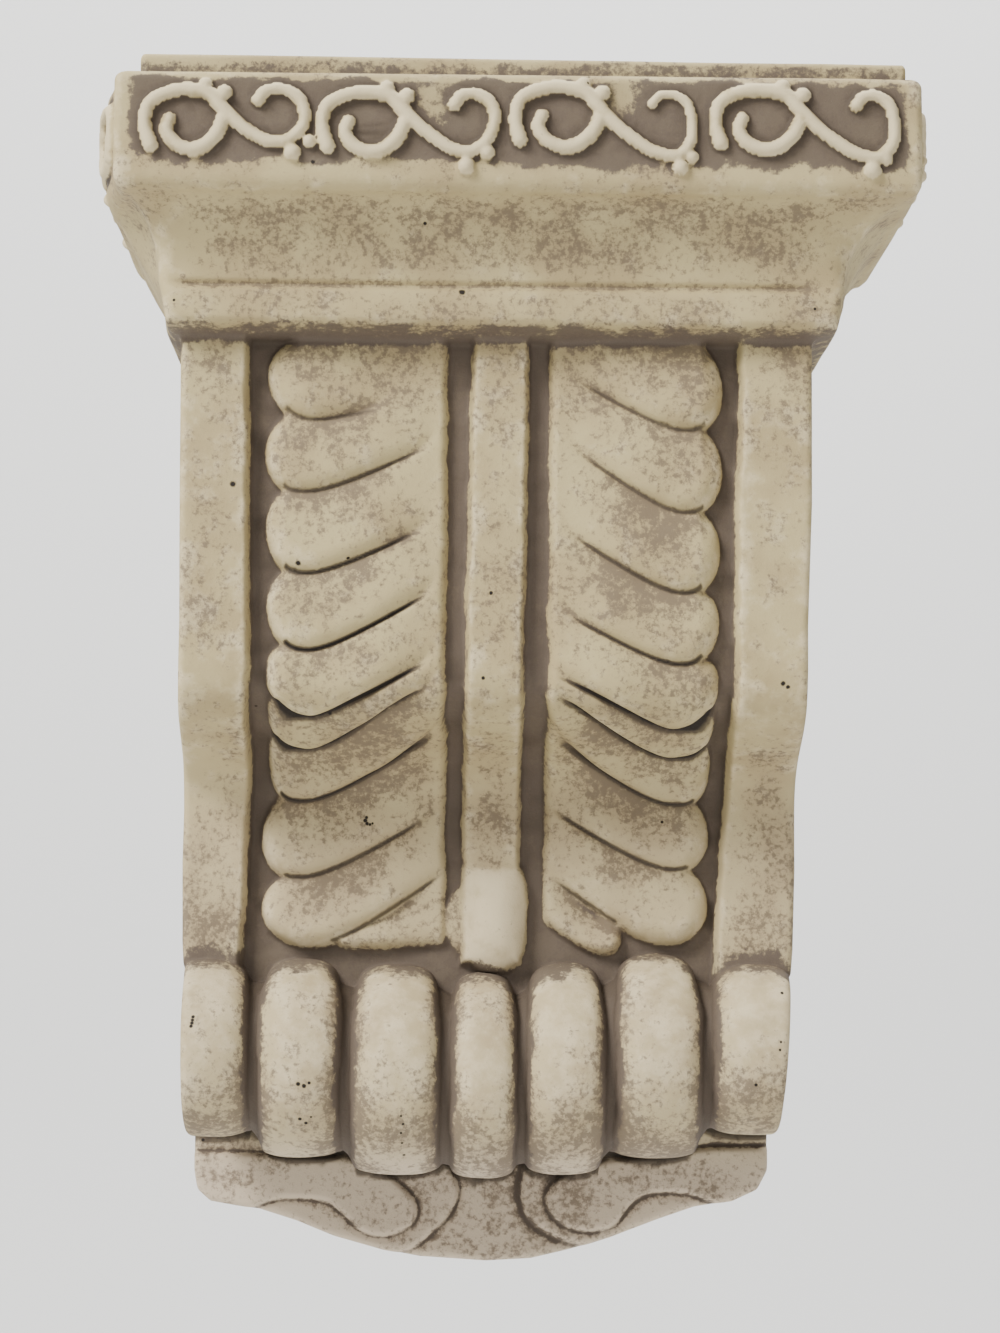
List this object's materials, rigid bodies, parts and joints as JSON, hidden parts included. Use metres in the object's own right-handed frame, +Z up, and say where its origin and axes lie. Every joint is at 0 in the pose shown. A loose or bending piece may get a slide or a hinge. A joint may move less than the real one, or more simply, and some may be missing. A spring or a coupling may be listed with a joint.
{
  "type": "corbel",
  "caption": "Cast plaster wall corbel with a scroll frieze on the abacus, cove and bead mouldings, overlapping leaf panels, a roll of reeds and a scrolled tail.",
  "frame": {"origin": "on the flat back that lies against the wall, half way up and on the centre line of the body", "axes": "+Y is the back face's outward normal, into the wall, so the corbel projects along -Y; +Z is up; +X is to the right as seen from the front"},
  "size_m": [0.2058, 0.1082, 0.3],
  "materials": {
    "plaster": "aged cream cast plaster with a grey-brown wash rubbed into the hollows, matt"
  },
  "bodies": {
    "root": {"corbel": "plaster"}
  },
  "joints": []
}
